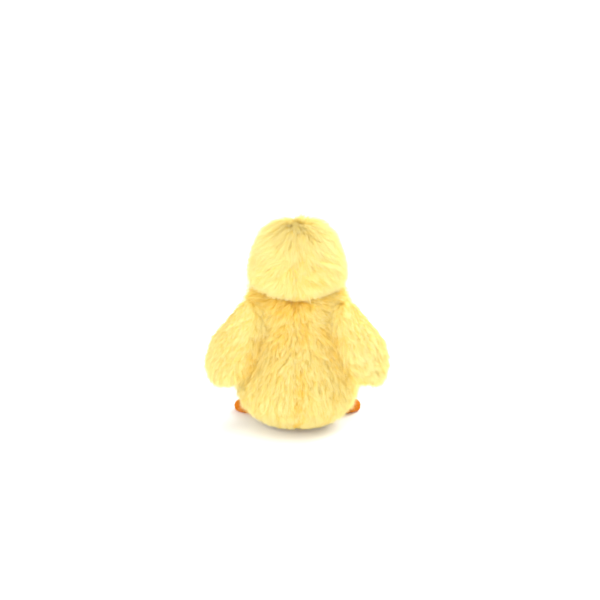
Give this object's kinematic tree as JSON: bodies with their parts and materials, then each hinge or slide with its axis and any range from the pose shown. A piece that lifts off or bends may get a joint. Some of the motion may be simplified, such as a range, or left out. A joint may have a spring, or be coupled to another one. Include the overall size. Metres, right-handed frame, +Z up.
{
  "type": "plush keychain",
  "caption": "Seated stuffed chick in long yellow pile with splayed wings, orange feet and beak, and a split ring on a ribbon loop at the crown.",
  "frame": {"origin": "middle of the flat base that the toy sits on", "axes": "+Z up, -Y the way the chick faces, +X to the chick's own left"},
  "size_m": [0.0902, 0.0597, 0.11],
  "materials": {
    "yellow_pile": "matte",
    "base_pile": "matte",
    "orange_felt": "matte",
    "fibre": "matte",
    "eye_black": "gloss",
    "washer_white": "matte",
    "ribbon": "satin",
    "ring_steel": "gloss"
  },
  "bodies": {
    "torso": {"base_panel": "base_pile", "belly_panel": "yellow_pile", "back_left_panel": "yellow_pile", "back_right_panel": "yellow_pile", "body_stuffing": "fibre", "neck_stuffing": "fibre"},
    "head": {"head_left_panel": "yellow_pile", "head_right_panel": "yellow_pile", "face_panel": "yellow_pile", "head_stuffing": "fibre", "upper_beak": "orange_felt", "lower_beak": "orange_felt", "left_eye": "eye_black", "right_eye": "eye_black", "left_eye_washer": "washer_white", "right_eye_washer": "washer_white"},
    "left_wing": {"left_wing_outer": "yellow_pile", "left_wing_inner": "yellow_pile", "left_wing_stuffing": "fibre"},
    "right_wing": {"right_wing_outer": "yellow_pile", "right_wing_inner": "yellow_pile", "right_wing_stuffing": "fibre"},
    "left_foot": {"left_foot_top": "orange_felt", "left_foot_sole": "orange_felt", "left_foot_stuffing": "fibre"},
    "right_foot": {"right_foot_top": "orange_felt", "right_foot_sole": "orange_felt", "right_foot_stuffing": "fibre"},
    "strap": {"strap_loop": "ribbon"},
    "ring": {"split_ring": "ring_steel"}
  },
  "joints": [
    {"name": "head_turn", "type": "hinge", "parent": "torso", "child": "head", "pos_m": [0, 0, 0.0735], "axis": [0, 0, 1], "range_deg": [-15, 15], "stiffness_Nm_per_rad": 0.02},
    {"name": "left_wing_lift", "type": "hinge", "parent": "torso", "child": "left_wing", "pos_m": [0.01937, 0.00992, 0.07079], "axis": [0.6346, -0.7193, 0.2825], "range_deg": [0, 40], "stiffness_Nm_per_rad": 0.005},
    {"name": "right_wing_lift", "type": "hinge", "parent": "torso", "child": "right_wing", "pos_m": [-0.01937, 0.00992, 0.07079], "axis": [0.6346, 0.7193, -0.2825], "range_deg": [0, 40], "stiffness_Nm_per_rad": 0.005},
    {"name": "left_foot_lift", "type": "hinge", "parent": "torso", "child": "left_foot", "pos_m": [0.01878, -0.01174, 0.00208], "axis": [-0.5299, -0.848, 0], "range_deg": [0, 20], "stiffness_Nm_per_rad": 0.002},
    {"name": "right_foot_lift", "type": "hinge", "parent": "torso", "child": "right_foot", "pos_m": [-0.01878, -0.01174, 0.00208], "axis": [-0.5299, 0.848, 0], "range_deg": [0, 20], "stiffness_Nm_per_rad": 0.002},
    {"name": "strap_flop", "type": "hinge", "parent": "head", "child": "strap", "pos_m": [0, -0.01598, 0.10394], "axis": [-1, 0, 0], "range_deg": [0, 120]},
    {"name": "ring_swing", "type": "hinge", "parent": "strap", "child": "ring", "pos_m": [0, -0.02175, 0.09987], "axis": [-1, 0, 0], "range_deg": [0, 120]}
  ]
}
